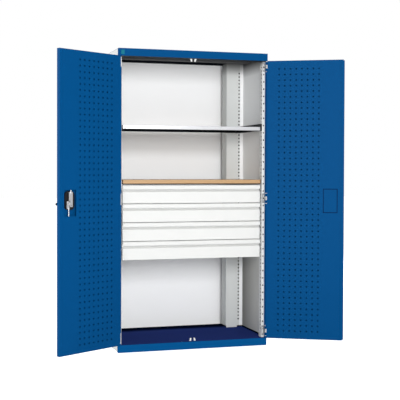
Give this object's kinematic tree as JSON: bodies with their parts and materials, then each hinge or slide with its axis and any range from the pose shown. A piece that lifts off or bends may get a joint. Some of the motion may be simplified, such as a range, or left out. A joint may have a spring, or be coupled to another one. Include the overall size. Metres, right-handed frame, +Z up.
{
  "type": "workshop drawer cabinet",
  "caption": "Tall steel workshop cabinet with hinged tool-panel doors, a shelf, a plywood worktop and full-width drawers over an open bay.",
  "frame": {"origin": "middle of the underside of the base, the centre of its four fixing holes", "axes": "+Z up, the front faces -Y, +X to the right seen from the front"},
  "size_m": [1.9661, 0.9068, 2],
  "materials": {
    "blue_paint": "semi-gloss powder coat",
    "light_grey_paint": "semi-gloss powder coat",
    "dark_grey_paint": "semi-gloss powder coat",
    "zinc_plated_steel": "satin zinc plate",
    "plywood": "oiled birch plywood",
    "black_plastic": "fine grain",
    "white_plastic": "smooth",
    "green_plate": "smooth"
  },
  "bodies": {
    "carcass": {"base_tray": "blue_paint", "top_tray": "blue_paint", "side_panel_left": "light_grey_paint", "side_panel_right": "light_grey_paint", "back_panel": "light_grey_paint", "roof_stiffener": "dark_grey_paint", "front_post_left": "light_grey_paint", "front_post_right": "light_grey_paint", "rear_post_left": "light_grey_paint", "rear_post_right": "light_grey_paint", "shelf": "zinc_plated_steel", "shelf_bracket_left": "dark_grey_paint", "shelf_bracket_right": "dark_grey_paint", "worktop": "plywood", "worktop_bracket_left": "zinc_plated_steel", "worktop_bracket_right": "zinc_plated_steel", "worktop_screws": "zinc_plated_steel", "hinge_brackets_left": "zinc_plated_steel", "hinge_brackets_right": "zinc_plated_steel", "hinge_pins_left": "zinc_plated_steel", "hinge_pins_right": "zinc_plated_steel", "cones_top": "white_plastic", "cones_bottom": "white_plastic", "fascia_plate": "green_plate", "runner_outer_1": "zinc_plated_steel", "runner_outer_2": "zinc_plated_steel", "runner_outer_3": "zinc_plated_steel", "runner_outer_4": "zinc_plated_steel"},
    "left_door": {"door_skin_left": "blue_paint", "door_panel_left": "blue_paint", "hinge_leaves_left": "blue_paint", "lock_housing": "black_plastic", "handle_plate": "black_plastic", "rod_guides": "black_plastic"},
    "right_door": {"door_skin_right": "blue_paint", "door_panel_right": "blue_paint", "hinge_leaves_right": "blue_paint", "window_cover": "blue_paint"},
    "handle": {"lock_lever": "black_plastic", "lock_crank": "zinc_plated_steel"},
    "upper_rod": {"lock_rod_upper": "zinc_plated_steel"},
    "lower_rod": {"lock_rod_lower": "zinc_plated_steel"},
    "drawer_1": {"drawer_front_1": "light_grey_paint", "drawer_box_1": "light_grey_paint", "runner_inner_1": "zinc_plated_steel"},
    "runner_1": {"runner_middle_1": "zinc_plated_steel"},
    "drawer_2": {"drawer_front_2": "light_grey_paint", "drawer_box_2": "light_grey_paint", "runner_inner_2": "zinc_plated_steel"},
    "runner_2": {"runner_middle_2": "zinc_plated_steel"},
    "drawer_3": {"drawer_front_3": "light_grey_paint", "drawer_box_3": "light_grey_paint", "runner_inner_3": "zinc_plated_steel"},
    "runner_3": {"runner_middle_3": "zinc_plated_steel"},
    "drawer_4": {"drawer_front_4": "light_grey_paint", "drawer_box_4": "light_grey_paint", "runner_inner_4": "zinc_plated_steel"},
    "runner_4": {"runner_middle_4": "zinc_plated_steel"}
  },
  "joints": [
    {"name": "left_door_hinge", "type": "hinge", "parent": "carcass", "child": "left_door", "pos_m": [-0.517, -0.319, 0], "axis": [0, 0, -1], "range_deg": [-151.6, 20]},
    {"name": "right_door_hinge", "type": "hinge", "parent": "carcass", "child": "right_door", "pos_m": [0.517, -0.319, 0], "axis": [0, 0, 1], "range_deg": [-155.1, 15]},
    {"name": "lock_handle_turn", "type": "hinge", "parent": "left_door", "child": "handle", "pos_m": [-0.89525, -0.52352, 0.99], "axis": [-0.4756, 0.8796, 0], "range_deg": [-90, 0]},
    {"name": "upper_rod_slide", "type": "slide", "parent": "left_door", "child": "upper_rod", "axis": [0, 0, 1], "range_m": [0, 0.0198]},
    {"name": "lower_rod_slide", "type": "slide", "parent": "left_door", "child": "lower_rod", "axis": [0, 0, -1], "range_m": [0, 0.0198]},
    {"name": "drawer_1_slide", "type": "slide", "parent": "carcass", "child": "drawer_1", "axis": [0, -1, 0], "range_m": [0, 0.3]},
    {"name": "runner_1_slide", "type": "slide", "parent": "carcass", "child": "runner_1", "axis": [0, -1, 0], "range_m": [0, 0.15]},
    {"name": "drawer_2_slide", "type": "slide", "parent": "carcass", "child": "drawer_2", "axis": [0, -1, 0], "range_m": [0, 0.3]},
    {"name": "runner_2_slide", "type": "slide", "parent": "carcass", "child": "runner_2", "axis": [0, -1, 0], "range_m": [0, 0.15]},
    {"name": "drawer_3_slide", "type": "slide", "parent": "carcass", "child": "drawer_3", "axis": [0, -1, 0], "range_m": [0, 0.3]},
    {"name": "runner_3_slide", "type": "slide", "parent": "carcass", "child": "runner_3", "axis": [0, -1, 0], "range_m": [0, 0.15]},
    {"name": "drawer_4_slide", "type": "slide", "parent": "carcass", "child": "drawer_4", "axis": [0, -1, 0], "range_m": [0, 0.3]},
    {"name": "runner_4_slide", "type": "slide", "parent": "carcass", "child": "runner_4", "axis": [0, -1, 0], "range_m": [0, 0.15]}
  ],
  "couplings": [
    {"joint": "upper_rod_slide", "follows": "lock_handle_turn", "m_per_rad": -0.012604},
    {"joint": "lower_rod_slide", "follows": "lock_handle_turn", "m_per_rad": -0.012604},
    {"joint": "runner_1_slide", "follows": "drawer_1_slide", "ratio": 0.5},
    {"joint": "runner_2_slide", "follows": "drawer_2_slide", "ratio": 0.5},
    {"joint": "runner_3_slide", "follows": "drawer_3_slide", "ratio": 0.5},
    {"joint": "runner_4_slide", "follows": "drawer_4_slide", "ratio": 0.5}
  ]
}
